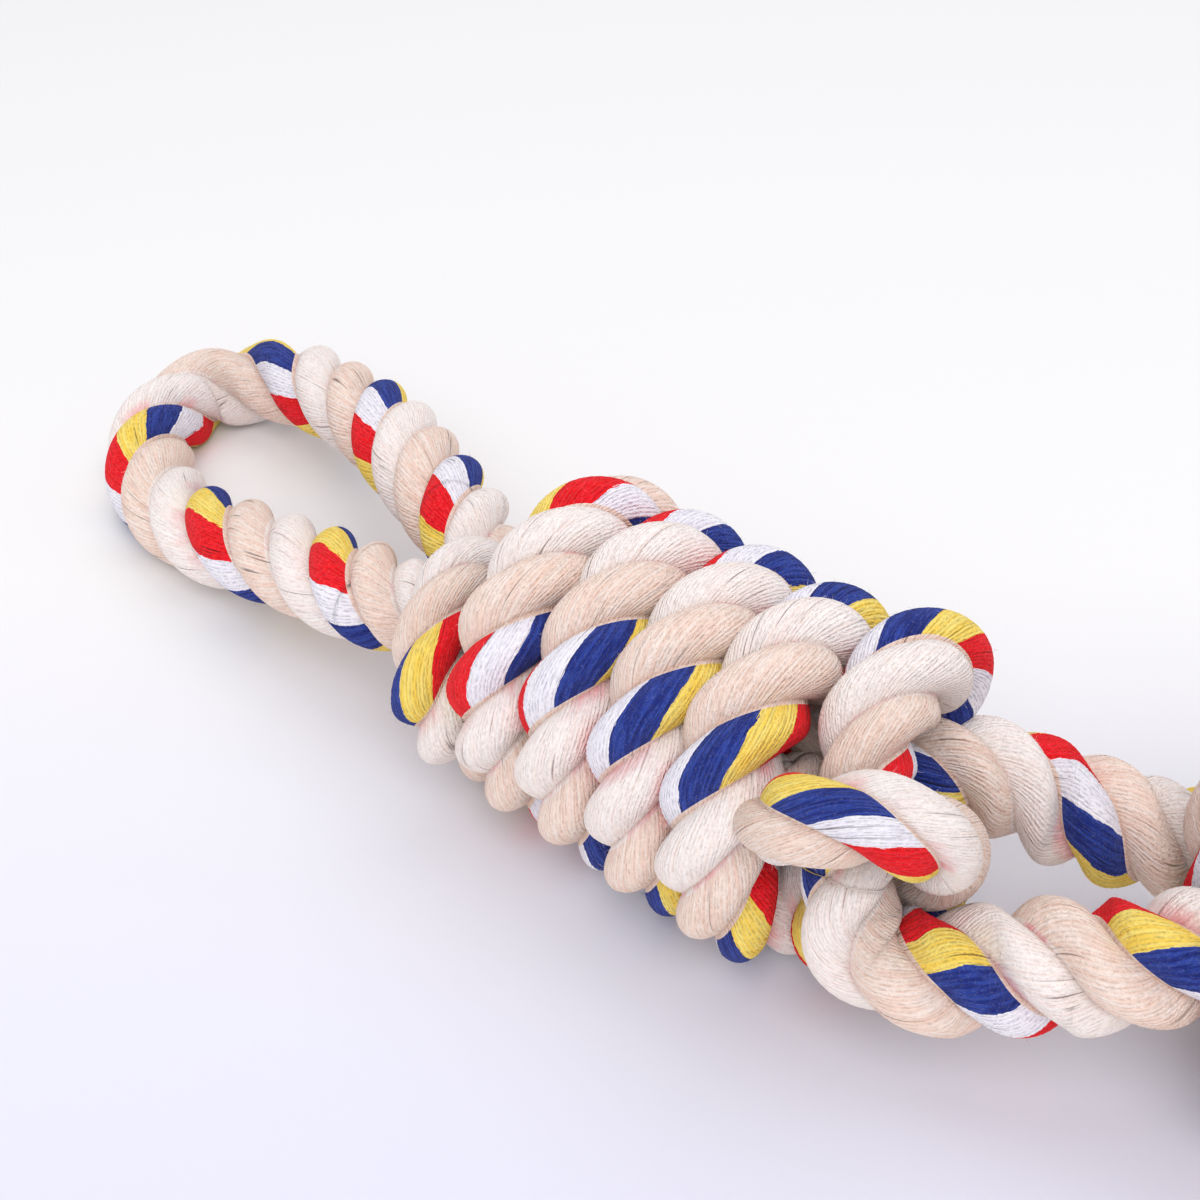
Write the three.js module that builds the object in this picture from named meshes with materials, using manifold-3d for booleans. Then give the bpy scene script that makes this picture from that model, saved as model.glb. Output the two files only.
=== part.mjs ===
// A tug toy for dogs, tied from one endless piece of thick three-strand cotton rope.
// At each end a barrel knot grips the rope and leaves a hand loop, and two legs join the knots.
// Millimetres, +Z up. The toy lies along X on the plane z = 0, with its middle over the origin.
// The right half is the left half turned by half a turn about Z.
import * as THREE from 'three';
import { mergeVertices } from 'three/addons/utils/BufferGeometryUtils.js';
import Module from 'manifold-3d';

const wasm = await Module();
wasm.setup();

// Thickness of the rope: free, and pressed inside the barrel.
const ROPE = 25;
const CORE_ROPE = 15;

// Barrel of the knot: turns of rope pressed side by side round three runs of the same rope.
const WRAP_WIDTH = 19.6;
const WRAP_DEPTH = 25.5;
const WRAP_SPACING = 0.6;
const WRAP_TURNS = 4.5;
const CORE_SPACING = 0.8;
const CORE_TWIST_DEGREES = 190;

// Place of the left knot: its inner end from the toy's middle, its axis from the centre line.
const KNOT_END = 56;
const KNOT_SIDE = 18;

// Gap where two runs of the rope meet end to end, and depth of the flats that the toy lies on.
const BUTT_GAP = 0.3;
const RESTING_FLAT = 2.5;

// Facets: sides of a rope tube, rings between two stations of a route, steps in a turn of the wraps.
const ROPE_SIDES = 10;
const CORE_SIDES = 8;
const RINGS_PER_STATION = 2;
const CORE_STEPS = 12;
const STEPS_PER_TURN = 24;

const NATURAL_COTTON = 0xe6d8c6;
const COTTON_ROUGHNESS = 0.95;

const coreRing = (CORE_ROPE + CORE_SPACING) / Math.sqrt(3);
const coreRadius = coreRing + CORE_ROPE / 2;
const wrapRing = coreRadius + CORE_SPACING + WRAP_DEPTH / 2;
const wrapPitch = WRAP_WIDTH + WRAP_SPACING;
const axisHeight = wrapRing + WRAP_DEPTH / 2 - RESTING_FLAT;
const firstWrapX = -KNOT_END - wrapPitch * WRAP_TURNS;
const mouthX = firstWrapX - wrapPitch / 2;
const leadX = firstWrapX + CORE_ROPE + wrapPitch / 4;

const { degToRad, clamp, lerp } = THREE.MathUtils;
const lastOf = (list) => list[list.length - 1];

// A station of the route: a point of the rope's centre line, with the rope's width and depth there.
function station(x, y, z, width, depth = width) {
  return { at: new THREE.Vector3(x, y, z), width, depth };
}
const byKnotEnd = ([x, y, z, width]) => station(x - KNOT_END, y - KNOT_SIDE, z + axisHeight, width);
const byMouth = ([x, y, z, width]) => station(x + mouthX, y, z, width);
const halfTurned = ({ at, width }) => station(-at.x, -at.y, at.z, width);

// A station round the barrel's axis. At 0 degrees it is on the far side, at 90 on top, at 180 in front.
function roundBarrel(x, radius, degrees, width, depth) {
  const y = radius * Math.cos(degToRad(degrees)) - KNOT_SIDE;
  const z = radius * Math.sin(degToRad(degrees)) + axisHeight;
  return station(x, y, z, width, depth);
}

// The three runs inside the barrel lie round each other like the wires of a cable.
const STANDING_DEGREES = 20;
const OUTWARD_DEGREES = 140;
const RETURN_DEGREES = 260;
function coreRun(degrees, fromX, toX) {
  const stations = [];
  for (let i = 0; i <= CORE_STEPS; i++) {
    const x = lerp(fromX, toX, i / CORE_STEPS);
    const twist = clamp((x + KNOT_END) / (leadX + KNOT_END), 0, 1);
    stations.push(roundBarrel(x, coreRing, degrees + CORE_TWIST_DEGREES * twist, CORE_ROPE));
  }
  return stations;
}
const standingCore = coreRun(STANDING_DEGREES, -KNOT_END, mouthX);
const outwardCore = coreRun(OUTWARD_DEGREES, mouthX, -KNOT_END);
const returnCore = coreRun(RETURN_DEGREES, -KNOT_END, leadX);

// The return run leaves the core straight, then climbs forward over the near run of the loop.
const LEAD_DEGREES = RETURN_DEGREES + CORE_TWIST_DEGREES;
const wrapLead = [
  [-0.5 * CORE_ROPE, 0, 0, CORE_ROPE],
  [-CORE_ROPE, 0, 0, CORE_ROPE],
  [-CORE_ROPE - 7, 3, 0.5, 15.5],
  [-CORE_ROPE - 12, 17, 3.5, 16.5],
  [-CORE_ROPE - 13.5, 37, 8.5, 17.5],
  [-CORE_ROPE - 11.5, 58, 13.5, 18.5],
  [-CORE_ROPE - 8.5, 76, 18, 19],
].map(([x, degrees, climb, width]) =>
  roundBarrel(leadX + x, coreRing + climb, LEAD_DEGREES + degrees, width));

// The wraps start in front of the barrel, go down there, pass below it and come up at the back.
const FRONT_DEGREES = 540;
const wrapTurns = [];
for (let i = 0; i <= STEPS_PER_TURN * WRAP_TURNS; i++) {
  const turn = i / STEPS_PER_TURN;
  const x = firstWrapX + wrapPitch * turn;
  wrapTurns.push(roundBarrel(x, wrapRing, FRONT_DEGREES + 360 * turn, WRAP_WIDTH, WRAP_DEPTH));
}

// Hand loop, from the near run at the knot's mouth, round the tip, to the far run.
const nearNeck = [
  [-11, -27.5, 33.5, 18.5],
  [-21, -29.5, 33, 23],
  [-33, -31, 31.5, ROPE],
].map(byMouth);
const handLoop = [
  [-50, -30.5, 28, ROPE],
  [-69, -30, 24, ROPE],
  [-88, -30.5, 20, ROPE],
  [-105, -31, 16.5, ROPE],
  [-124, -29, 13, ROPE],
  [-146, -22.5, 10.5, ROPE],
  [-166, -10.5, 10, ROPE],
  [-178.5, 5, 10, ROPE],
  [-181, 21.5, 11.5, ROPE],
  [-171, 33.5, 14.5, ROPE],
  [-152, 38.5, 19.5, ROPE],
  [-132, 36, 24, ROPE],
  [-95, 27, 31, ROPE],
  [-58, 11.5, 36.5, ROPE],
  [-35, 2.5, 38, ROPE],
].map(byMouth);
const farNeck = [
  [-22, -3, 37.5, 23],
  [-11, -8, 35.5, 18.5],
].map(byMouth);

// Eye of the knot: out of the core, forward over the tucked run, round, and back below it.
const eye = [
  [6, -16, 8.5, 16.5],
  [9, -27.5, 14, 16.5],
  [18, -30.5, 23.5, 19],
  [28.5, -26, 27.5, 19],
  [36.5, -20.5, 25.5, 18.5],
  [39.5, -12.5, 18.5, 17.5],
  [37.5, -6, 8, 16.5],
  [32.5, -1.5, -3, 17],
  [29.5, 1.5, -13, 17.5],
  [27, 0.5, -21.5, 18],
  [24.5, -3.5, -27, 18],
  [20, -10.5, -27.5, 17.5],
  [14.5, -14, -22, 16.5],
  [10.5, -11.5, -15.5, 16],
].map(byKnotEnd);

// The last wrap leaves the barrel at the back, crosses the top and is tucked down through the eye.
const lockTuck = [
  [2.5, 31, 11, 21],
  [7, 27.5, 24.5, 22],
  [9.5, 15.5, 31, 22.5],
  [12, 4, 29.5, 22],
  [17, -8, 22, 20],
  [22.5, -14, 12.5, 17],
  [24, -20, 4, 18.5],
].map(byKnotEnd);

// A leg leaves the tuck of one knot, crosses the middle and goes into the core of the other knot.
const legFromTuck = [
  [26.5, -23, -3.5, 20.5],
  [32, -23, -9.5, 22],
  [40.5, -20, -11.5, 23.5],
  [48.5, -14, -10.5, ROPE],
].map(byKnotEnd);
const legMiddle = station(0, -26.5, 31.5, ROPE);
const legIntoCore = [
  [46.5, 38.5, -5, ROPE],
  [37.5, 34, -2.5, ROPE],
  [26, 25, 3.5, 24],
  [17, 15.5, 5.5, 21],
  [9, 10.5, 4, 18],
].map(byKnotEnd);

// The whole route of the left half is one smooth curve.
// A run starts at the last station of the run before it.
const route = lockTuck.slice(-3).map(halfTurned);
const spans = new Map();
function addRun(name, stations, sides) {
  spans.set(name, { from: route.length - 1, to: route.length - 1 + stations.length, sides });
  route.push(...stations);
}
addRun('leg', [...legFromTuck, legMiddle].map(halfTurned).concat(legIntoCore, standingCore[0]), ROPE_SIDES);
addRun('core_standing', standingCore.slice(1), CORE_SIDES);
addRun('neck_near', nearNeck, ROPE_SIDES);
addRun('handle_loop', handLoop, ROPE_SIDES);
addRun('neck_far', [...farNeck, outwardCore[0]], ROPE_SIDES);
addRun('core_outward', outwardCore.slice(1), CORE_SIDES);
addRun('eye', [...eye, returnCore[0]], ROPE_SIDES);
addRun('core_return', returnCore.slice(1), CORE_SIDES);
addRun('wraps', [...wrapLead, ...wrapTurns]);
addRun('lock_tuck', lockTuck, ROPE_SIDES);
route.push(...legFromTuck.slice(0, 2));
const curve = new THREE.CatmullRomCurve3(route.map(({ at }) => at));

// A ring of the rope at a place on the route, counted in stations.
function ringAt(place) {
  const before = route[Math.floor(place)];
  const after = route[Math.min(Math.floor(place) + 1, route.length - 1)];
  const share = place - Math.floor(place);
  return {
    at: curve.getPoint(place / (route.length - 1)),
    along: curve.getTangent(place / (route.length - 1)),
    width: lerp(before.width, after.width, share),
    depth: lerp(before.depth, after.depth, share),
  };
}

// Rings of one run. Half of the gap to each neighbour is taken off its ends.
function ringsOf({ from, to }, ringsPerStation) {
  const rings = [];
  for (let i = 0; i <= (to - from) * ringsPerStation; i++) {
    rings.push(ringAt(from + i / ringsPerStation));
  }
  rings[0].at.addScaledVector(rings[0].along, BUTT_GAP / 2);
  lastOf(rings).at.addScaledVector(lastOf(rings).along, -BUTT_GAP / 2);
  return rings;
}

// Round rope keeps its facets from twisting: each ring takes its direction from the ring before it.
function roundSections(rings, sides) {
  let outward = new THREE.Vector3(0, 0, 1).cross(rings[0].along).normalize();
  return rings.map(({ at, along, width }) => {
    outward = outward.clone().addScaledVector(along, -outward.dot(along)).normalize();
    const across = along.clone().cross(outward);
    return Array.from({ length: sides }, (_, i) => {
      const angle = (2 * Math.PI * i) / sides;
      return at.clone()
        .addScaledVector(outward, (width / 2) * Math.cos(angle))
        .addScaledVector(across, (width / 2) * Math.sin(angle));
    });
  });
}

// Wrapped rope is pressed flat against its neighbours, with a ridge away from the barrel's axis.
const RIDGED_SECTION = [[1, 0], [0.5, 1], [-0.5, 1], [-1, 0], [-0.5, -1], [0.5, -1]];
function wrapSections(rings) {
  return rings.map(({ at, along, width, depth }) => {
    const outward = new THREE.Vector3(0, at.y + KNOT_SIDE, at.z - axisHeight);
    outward.addScaledVector(along, -outward.dot(along)).normalize();
    const across = along.clone().cross(outward);
    return RIDGED_SECTION.map(([out, side]) => at.clone()
      .addScaledVector(outward, (out * depth) / 2)
      .addScaledVector(across, (side * width) / 2));
  });
}

// A closed skin over rings that have the same number of corners.
function loft(sections) {
  const sides = sections[0].length;
  const faces = [];
  for (let ring = 0; ring + 1 < sections.length; ring++) {
    for (let i = 0; i < sides; i++) {
      const a = ring * sides + i;
      const b = ring * sides + ((i + 1) % sides);
      faces.push(a, b, b + sides, a, b + sides, a + sides);
    }
  }
  const last = (sections.length - 1) * sides;
  for (let i = 1; i + 1 < sides; i++) {
    faces.push(0, i + 1, i, last, last + i, last + i + 1);
  }
  const geometry = new THREE.BufferGeometry();
  geometry.setAttribute('position', new THREE.Float32BufferAttribute(
    sections.flat().flatMap((corner) => corner.toArray()), 3));
  geometry.setIndex(faces);
  return geometry;
}

// The toy lies on its barrels and loop tips, which are pressed flat where they meet the floor.
function asSolid(geometry) {
  const plain = geometry.clone();
  plain.deleteAttribute('normal');
  plain.deleteAttribute('uv');
  const merged = mergeVertices(plain);
  return new wasm.Manifold(new wasm.Mesh({
    numProp: 3,
    vertProperties: merged.attributes.position.array,
    triVerts: new Uint32Array(merged.index.array),
  }));
}
function pressedFlat(geometry) {
  geometry.computeBoundingBox();
  const { min, max } = geometry.boundingBox;
  const reach = max.clone().sub(min);
  const floor = new THREE.BoxGeometry(2 * reach.x, 2 * reach.y, 2 * RESTING_FLAT);
  floor.translate((min.x + max.x) / 2, (min.y + max.y) / 2, -RESTING_FLAT);
  const mesh = asSolid(geometry).subtract(asSolid(floor)).getMesh();
  const pressed = new THREE.BufferGeometry();
  pressed.setAttribute('position', new THREE.Float32BufferAttribute(mesh.vertProperties, 3));
  pressed.setIndex(Array.from(mesh.triVerts));
  return pressed;
}

// Least distance between corners of the wraps that are at least half a turn apart.
function leastGap(sections) {
  let least = Infinity;
  for (let i = 0; i < sections.length; i++) {
    for (let j = i + STEPS_PER_TURN / 2; j < sections.length; j++) {
      for (const p of sections[i]) {
        for (const q of sections[j]) {
          least = Math.min(least, p.distanceTo(q));
        }
      }
    }
  }
  return least;
}

const geometries = new Map();
for (const [name, span] of spans) {
  if (name === 'wraps') {
    const sections = wrapSections(ringsOf(span, 1));
    console.log(`wraps: least gap to themselves ${leastGap(sections).toFixed(2)} mm`);
    geometries.set(name, pressedFlat(loft(sections)));
  } else {
    const ringsPerStation = name.startsWith('core') ? 1 : RINGS_PER_STATION;
    const tube = loft(roundSections(ringsOf(span, ringsPerStation), span.sides));
    geometries.set(name, name === 'handle_loop' ? pressedFlat(tube) : tube);
  }
}
console.log(`rope in the toy: ${(2 * curve.getLength() / 1000).toFixed(2)} m`);

const cotton = new THREE.MeshStandardMaterial({ color: NATURAL_COTTON, roughness: COTTON_ROUGHNESS });
const toy = new THREE.Group();
for (const [side, turn, legName] of [['left', 0, 'far_leg'], ['right', Math.PI, 'near_leg']]) {
  const half = new THREE.Group();
  half.rotation.z = turn;
  for (const [name, geometry] of geometries) {
    const mesh = new THREE.Mesh(geometry, cotton);
    mesh.name = name === 'leg' ? legName : `${side}_${name}`;
    half.add(mesh);
  }
  toy.add(half);
}

export default toy;
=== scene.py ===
# %% [markdown]
# A tug toy for dogs, tied from one endless piece of thick three-strand cotton rope.
# The rope runs through two barrel knots, leaves a hand loop at each end, and joins the knots with two legs.
# The solids of the frame say where the rope lies. This lesson lays real strands along the same route:
# two plain strands, one natural white and one beige, and one strand with four coloured stripes.

# %% Load the frame
import math

import bpy
import numpy as np
from mathutils import Matrix, Vector


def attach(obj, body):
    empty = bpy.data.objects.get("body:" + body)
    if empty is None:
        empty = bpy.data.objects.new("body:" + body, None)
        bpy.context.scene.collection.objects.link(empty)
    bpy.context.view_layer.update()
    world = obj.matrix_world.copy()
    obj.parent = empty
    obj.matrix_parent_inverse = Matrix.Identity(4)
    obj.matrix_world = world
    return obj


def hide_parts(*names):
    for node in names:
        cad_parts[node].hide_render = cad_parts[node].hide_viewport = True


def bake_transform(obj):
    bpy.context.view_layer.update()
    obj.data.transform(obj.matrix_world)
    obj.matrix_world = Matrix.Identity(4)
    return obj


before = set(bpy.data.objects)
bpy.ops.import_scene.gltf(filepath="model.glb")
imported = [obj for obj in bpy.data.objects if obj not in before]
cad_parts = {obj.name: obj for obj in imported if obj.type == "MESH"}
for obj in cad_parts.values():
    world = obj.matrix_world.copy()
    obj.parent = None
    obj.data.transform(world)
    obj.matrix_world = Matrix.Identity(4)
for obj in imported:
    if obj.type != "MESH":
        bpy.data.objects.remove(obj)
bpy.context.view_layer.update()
scene = bpy.context.scene

# %% [markdown]
# The camera comes first, because everything is judged through it. It stands in front of the left knot,
# to its right, and looks down on it, so that the knot fills the middle and the right knot is out of view.
# The lens is given by its focal length in pixels of a square picture, which is easy to measure.

# %% Camera
PICTURE_PIXELS = 1200
FOCAL_PIXELS = 1730
CAMERA_AT = (0.1007, -0.2547, 0.3019)
CAMERA_TILT = math.radians(53.1)
CAMERA_HEADING = math.radians(43.09)

camera_data = bpy.data.cameras.new("studio_camera")
camera_data.sensor_fit = "HORIZONTAL"
camera_data.angle = 2 * math.atan(PICTURE_PIXELS / 2 / FOCAL_PIXELS)
camera_data.clip_start = 0.01
camera = bpy.data.objects.new("studio_camera", camera_data)
camera.location = CAMERA_AT
camera.rotation_euler = (CAMERA_TILT, 0, CAMERA_HEADING)
scene.collection.objects.link(camera)
scene.camera = camera
print("camera:", round(math.degrees(camera_data.angle), 1), "degrees wide")

# %% [markdown]
# The rope's route is the same list of stations that the solids were made from, in metres.
# A station is a point of the rope's centre line, with the rope's width and depth there.
# Most stations are measured from the inner end of the knot's axis, or from the mouth of the barrel.

# %% Sizes of the rope and of the knot
ROPE = 0.025
CORE_ROPE = 0.015
WRAP_WIDTH = 0.0196
WRAP_DEPTH = 0.0255
WRAP_SPACING = 0.0006
WRAP_TURNS = 4.5
CORE_SPACING = 0.0008
CORE_TWIST_DEGREES = 190
KNOT_END = 0.056
KNOT_SIDE = 0.018
RESTING_FLAT = 0.0025
CORE_STEPS = 12
STEPS_PER_TURN = 24

core_ring = (CORE_ROPE + CORE_SPACING) / math.sqrt(3)
core_radius = core_ring + CORE_ROPE / 2
wrap_ring = core_radius + CORE_SPACING + WRAP_DEPTH / 2
wrap_pitch = WRAP_WIDTH + WRAP_SPACING
axis_height = wrap_ring + WRAP_DEPTH / 2 - RESTING_FLAT
first_wrap_x = -KNOT_END - wrap_pitch * WRAP_TURNS
mouth_x = first_wrap_x - wrap_pitch / 2
lead_x = first_wrap_x + CORE_ROPE + wrap_pitch / 4


def station(x, y, z, width, depth=None):
    return (x, y, z, width, depth or width)


def by_knot_end(x, y, z, width):
    return station(x - KNOT_END, y - KNOT_SIDE, z + axis_height, width)


def by_mouth(x, y, z, width):
    return station(x + mouth_x, y, z, width)


def half_turned(x, y, z, width, depth):
    return station(-x, -y, z, width, depth)


def round_barrel(x, radius, degrees, width, depth=None):
    """A station round the barrel's axis: 0 degrees is the far side, 90 the top and 180 the front."""
    angle = math.radians(degrees)
    y = radius * math.cos(angle) - KNOT_SIDE
    z = radius * math.sin(angle) + axis_height
    return station(x, y, z, width, depth)


print("barrel:", round(2000 * (wrap_ring + WRAP_DEPTH / 2), 1), "mm across")

# %% Stations inside the barrel and round it
def core_run(degrees, from_x, to_x):
    """One of the three runs inside the barrel, which lie round each other like the wires of a cable."""
    run = []
    for i in range(CORE_STEPS + 1):
        x = from_x + (to_x - from_x) * i / CORE_STEPS
        twist = min(max((x + KNOT_END) / (lead_x + KNOT_END), 0), 1)
        run.append(round_barrel(x, core_ring, degrees + CORE_TWIST_DEGREES * twist, CORE_ROPE))
    return run


STANDING_DEGREES = 20
OUTWARD_DEGREES = 140
RETURN_DEGREES = 260
standing_core = core_run(STANDING_DEGREES, -KNOT_END, mouth_x)
outward_core = core_run(OUTWARD_DEGREES, mouth_x, -KNOT_END)
return_core = core_run(RETURN_DEGREES, -KNOT_END, lead_x)

# Along the barrel, degrees round it, climb from the core, width.
WRAP_LEAD = [
    (-0.0075, 0, 0, 0.015),
    (-0.015, 0, 0, 0.015),
    (-0.022, 3, 0.0005, 0.0155),
    (-0.027, 17, 0.0035, 0.0165),
    (-0.0285, 37, 0.0085, 0.0175),
    (-0.0265, 58, 0.0135, 0.0185),
    (-0.0235, 76, 0.018, 0.019),
]
LEAD_DEGREES = RETURN_DEGREES + CORE_TWIST_DEGREES
FRONT_DEGREES = 540
wrap_lead = [
    round_barrel(lead_x + x, core_ring + climb, LEAD_DEGREES + degrees, width)
    for x, degrees, climb, width in WRAP_LEAD
]
wrap_turns = []
for i in range(int(STEPS_PER_TURN * WRAP_TURNS) + 1):
    turn = i / STEPS_PER_TURN
    x = first_wrap_x + wrap_pitch * turn
    wrap_turns.append(round_barrel(x, wrap_ring, FRONT_DEGREES + 360 * turn, WRAP_WIDTH, WRAP_DEPTH))
print("wraps:", len(wrap_turns), "stations in", WRAP_TURNS, "turns")

# %% Stations of the hand loop
NEAR_NECK = [
    (-0.011, -0.0275, 0.0335, 0.0185),
    (-0.021, -0.0295, 0.033, 0.023),
    (-0.033, -0.031, 0.0315, ROPE),
]
HAND_LOOP = [
    (-0.05, -0.0305, 0.028),
    (-0.069, -0.03, 0.024),
    (-0.088, -0.0305, 0.02),
    (-0.105, -0.031, 0.0165),
    (-0.124, -0.029, 0.013),
    (-0.146, -0.0225, 0.0105),
    (-0.166, -0.0105, 0.01),
    (-0.1785, 0.005, 0.01),
    (-0.181, 0.0215, 0.0115),
    (-0.171, 0.0335, 0.0145),
    (-0.152, 0.0385, 0.0195),
    (-0.132, 0.036, 0.024),
    (-0.095, 0.027, 0.031),
    (-0.058, 0.0115, 0.0365),
    (-0.035, 0.0025, 0.038),
]
FAR_NECK = [
    (-0.022, -0.003, 0.0375, 0.023),
    (-0.011, -0.008, 0.0355, 0.0185),
]
near_neck = [by_mouth(*row) for row in NEAR_NECK]
hand_loop = [by_mouth(*row, ROPE) for row in HAND_LOOP]
far_neck = [by_mouth(*row) for row in FAR_NECK]
print("hand loop:", len(hand_loop), "stations")

# %% Stations of the eye, the tuck and the legs
EYE = [
    (0.006, -0.016, 0.0085, 0.0165),
    (0.009, -0.0275, 0.014, 0.0165),
    (0.018, -0.0305, 0.0235, 0.019),
    (0.0285, -0.026, 0.0275, 0.019),
    (0.0365, -0.0205, 0.0255, 0.0185),
    (0.0395, -0.0125, 0.0185, 0.0175),
    (0.0375, -0.006, 0.008, 0.0165),
    (0.0325, -0.0015, -0.003, 0.017),
    (0.0295, 0.0015, -0.013, 0.0175),
    (0.027, 0.0005, -0.0215, 0.018),
    (0.0245, -0.0035, -0.027, 0.018),
    (0.02, -0.0105, -0.0275, 0.0175),
    (0.0145, -0.014, -0.022, 0.0165),
    (0.0105, -0.0115, -0.0155, 0.016),
]
LOCK_TUCK = [
    (0.0025, 0.031, 0.011, 0.021),
    (0.007, 0.0275, 0.0245, 0.022),
    (0.0095, 0.0155, 0.031, 0.0225),
    (0.012, 0.004, 0.0295, 0.022),
    (0.017, -0.008, 0.022, 0.02),
    (0.0225, -0.014, 0.0125, 0.017),
    (0.024, -0.02, 0.004, 0.0185),
]
LEG_FROM_TUCK = [
    (0.0265, -0.023, -0.0035, 0.0205),
    (0.032, -0.023, -0.0095, 0.022),
    (0.0405, -0.02, -0.0115, 0.0235),
    (0.0485, -0.014, -0.0105, ROPE),
]
LEG_MIDDLE = (0, -0.0265, 0.0315, ROPE)
LEG_INTO_CORE = [
    (0.0465, 0.0385, -0.005, ROPE),
    (0.0375, 0.034, -0.0025, ROPE),
    (0.026, 0.025, 0.0035, 0.024),
    (0.017, 0.0155, 0.0055, 0.021),
    (0.009, 0.0105, 0.004, 0.018),
]
eye = [by_knot_end(*row) for row in EYE]
lock_tuck = [by_knot_end(*row) for row in LOCK_TUCK]
leg_from_tuck = [by_knot_end(*row) for row in LEG_FROM_TUCK]
leg_into_core = [by_knot_end(*row) for row in LEG_INTO_CORE]
leg_start = [half_turned(*row) for row in leg_from_tuck + [station(*LEG_MIDDLE)]]
print("knot:", len(eye) + len(lock_tuck), "stations,", "leg:", len(leg_start + leg_into_core), "stations")

# %% [markdown]
# A laid rope is never wound evenly once it is knotted: it closes up where it is gripped and opens in a loop.
# So each run says how many turns its strands make round each other, in one or more equal shares of its
# length, how many times the four stripes come round on the striped strand, and how far the loose strands
# swell past the solid. A run starts where the one before it ends, and the right half of the toy is the left
# half turned by half a turn.

# %% Runs of the rope, with their turns and stripes
RUNS = [
    ("leg", leg_start + leg_into_core + standing_core[:1], [1.05, 0.92, 1.04], [2.2, 1.73, 1.83], [1.09]),
    ("core_standing", standing_core[1:], [2.6], [5.52], [1.0, 1.0]),
    ("neck_near", near_neck, [0.89], [1.91], [1.09]),
    (
        "handle_loop", hand_loop,
        [1.0, 0.9, 0.8, 0.78, 0.85, 0.94], [2.13, 1.78, 1.75, 1.68, 1.91, 2.02], [1.09, 1.09],
    ),
    ("neck_far", far_neck + outward_core[:1], [0.85], [1.93], [1.09]),
    ("core_outward", outward_core[1:], [2.62], [3.75], [1.0, 1.0]),
    (
        "eye", eye + return_core[:1],
        [0.59, 0.74, 1.0, 1.13], [1.66, 2.1, 1.95, 2.23], [1.0, 1.04, 1.0, 1.0],
    ),
    ("core_return", return_core[1:], [2.17], [3.85], [1.0, 1.0]),
    (
        "wraps", wrap_lead + wrap_turns,
        [4.3, 4.2, 3.94, 3.99, 3.95],
        [2.93, 2.87, 3.27, 2.67, 2.84, 3.47, 2.55, 2.62, 3.44, 2.57, 2.51, 3.49, 2.7, 2.64, 2.96],
        [1.05, 1.05],
    ),
    ("lock_tuck", lock_tuck, [0.88, 1.05], [2.08, 1.8], [1.03, 1.03]),
]
# No two legs are twisted quite alike, so these runs of the right half have turns and stripes of their own.
RIGHT_LAY = {
    "leg": ([0.68, 0.93, 0.95], [1.8, 1.83, 2.01]),
    "core_standing": ([2.89], [5.42]),
    "lock_tuck": ([0.88, 0.88], [2.08, 1.59]),
}
FIRST_TURN = 0.404
FIRST_STRIPE = 0.36

route = [half_turned(*row) for row in lock_tuck[-3:]]
spans = {}
for name, stations, *_ in RUNS:
    spans[name] = (len(route) - 1, len(route) - 1 + len(stations))
    route += stations
route = np.array(route + leg_from_tuck[:2])
print("route:", len(route), "stations in", len(spans), "runs")

# %% [markdown]
# One smooth curve goes through all stations. A centripetal Catmull-Rom curve has no loops or overshoots
# between uneven stations, so it suits a rope. Along it goes a pair of directions that never twist by
# themselves: each pair is the one before it, reflected twice. The lay of the strands is then added to them.

# %% The centre line
SAMPLES_PER_STATION = 16


def centre_line(stations, samples):
    """Points of a centripetal Catmull-Rom curve, with the width and depth of the rope at each."""
    points = stations[:, :3]
    first = 2 * points[0] - points[1]
    last = 2 * points[-1] - points[-2]
    points = np.vstack([first, points, last])
    share = np.arange(samples)[:, None] / samples
    pieces = []
    for p0, p1, p2, p3 in zip(points, points[1:], points[2:], points[3:]):
        d0, d1, d2 = (np.linalg.norm(b - a) ** 0.5 for a, b in ((p0, p1), (p1, p2), (p2, p3)))
        leave = ((p1 - p0) / d0 - (p2 - p0) / (d0 + d1) + (p2 - p1) / d1) * d1
        arrive = ((p2 - p1) / d1 - (p3 - p1) / (d1 + d2) + (p3 - p2) / d2) * d1
        square = 3 * (p2 - p1) - 2 * leave - arrive
        cube = 2 * (p1 - p2) + leave + arrive
        pieces.append(p1 + leave * share + square * share**2 + cube * share**3)
    line = np.vstack(pieces + [points[-2:-1]])
    place = np.arange(len(line)) / samples
    sizes = [np.interp(place, np.arange(len(stations)), stations[:, column]) for column in (3, 4)]
    return line, sizes[0], sizes[1]


line, line_width, line_depth = centre_line(route, SAMPLES_PER_STATION)
steps = np.linalg.norm(np.diff(line, axis=0), axis=1)
along = np.concatenate([[0], np.cumsum(steps)])
at_stations = along[::SAMPLES_PER_STATION]
run_ends = {name: (at_stations[a], at_stations[b]) for name, (a, b) in spans.items()}
rope_start, rope_end = run_ends["leg"][0], run_ends["lock_tuck"][1]
print("rope in the toy:", round(2 * (rope_end - rope_start), 2), "m")


# %% Directions that do not twist
def unit(vectors):
    return vectors / np.linalg.norm(vectors, axis=-1, keepdims=True)


def reflected(vector, mirror):
    return vector - 2 * mirror * (vector @ mirror) / max(mirror @ mirror, 1e-18)


tangent = unit(np.gradient(line, along, axis=0))
side = np.zeros_like(line)
side[0] = unit(np.cross((0, 0, 1), tangent[0]))
for i in range(len(line) - 1):
    step = line[i + 1] - line[i]
    turned = reflected(side[i], step)
    turn_back = tangent[i + 1] - reflected(tangent[i], step)
    side[i + 1] = reflected(turned, turn_back)
    side[i + 1] = unit(side[i + 1] - tangent[i + 1] * (side[i + 1] @ tangent[i + 1]))
HALF_TURN = np.array([-1, -1, 1])


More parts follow.
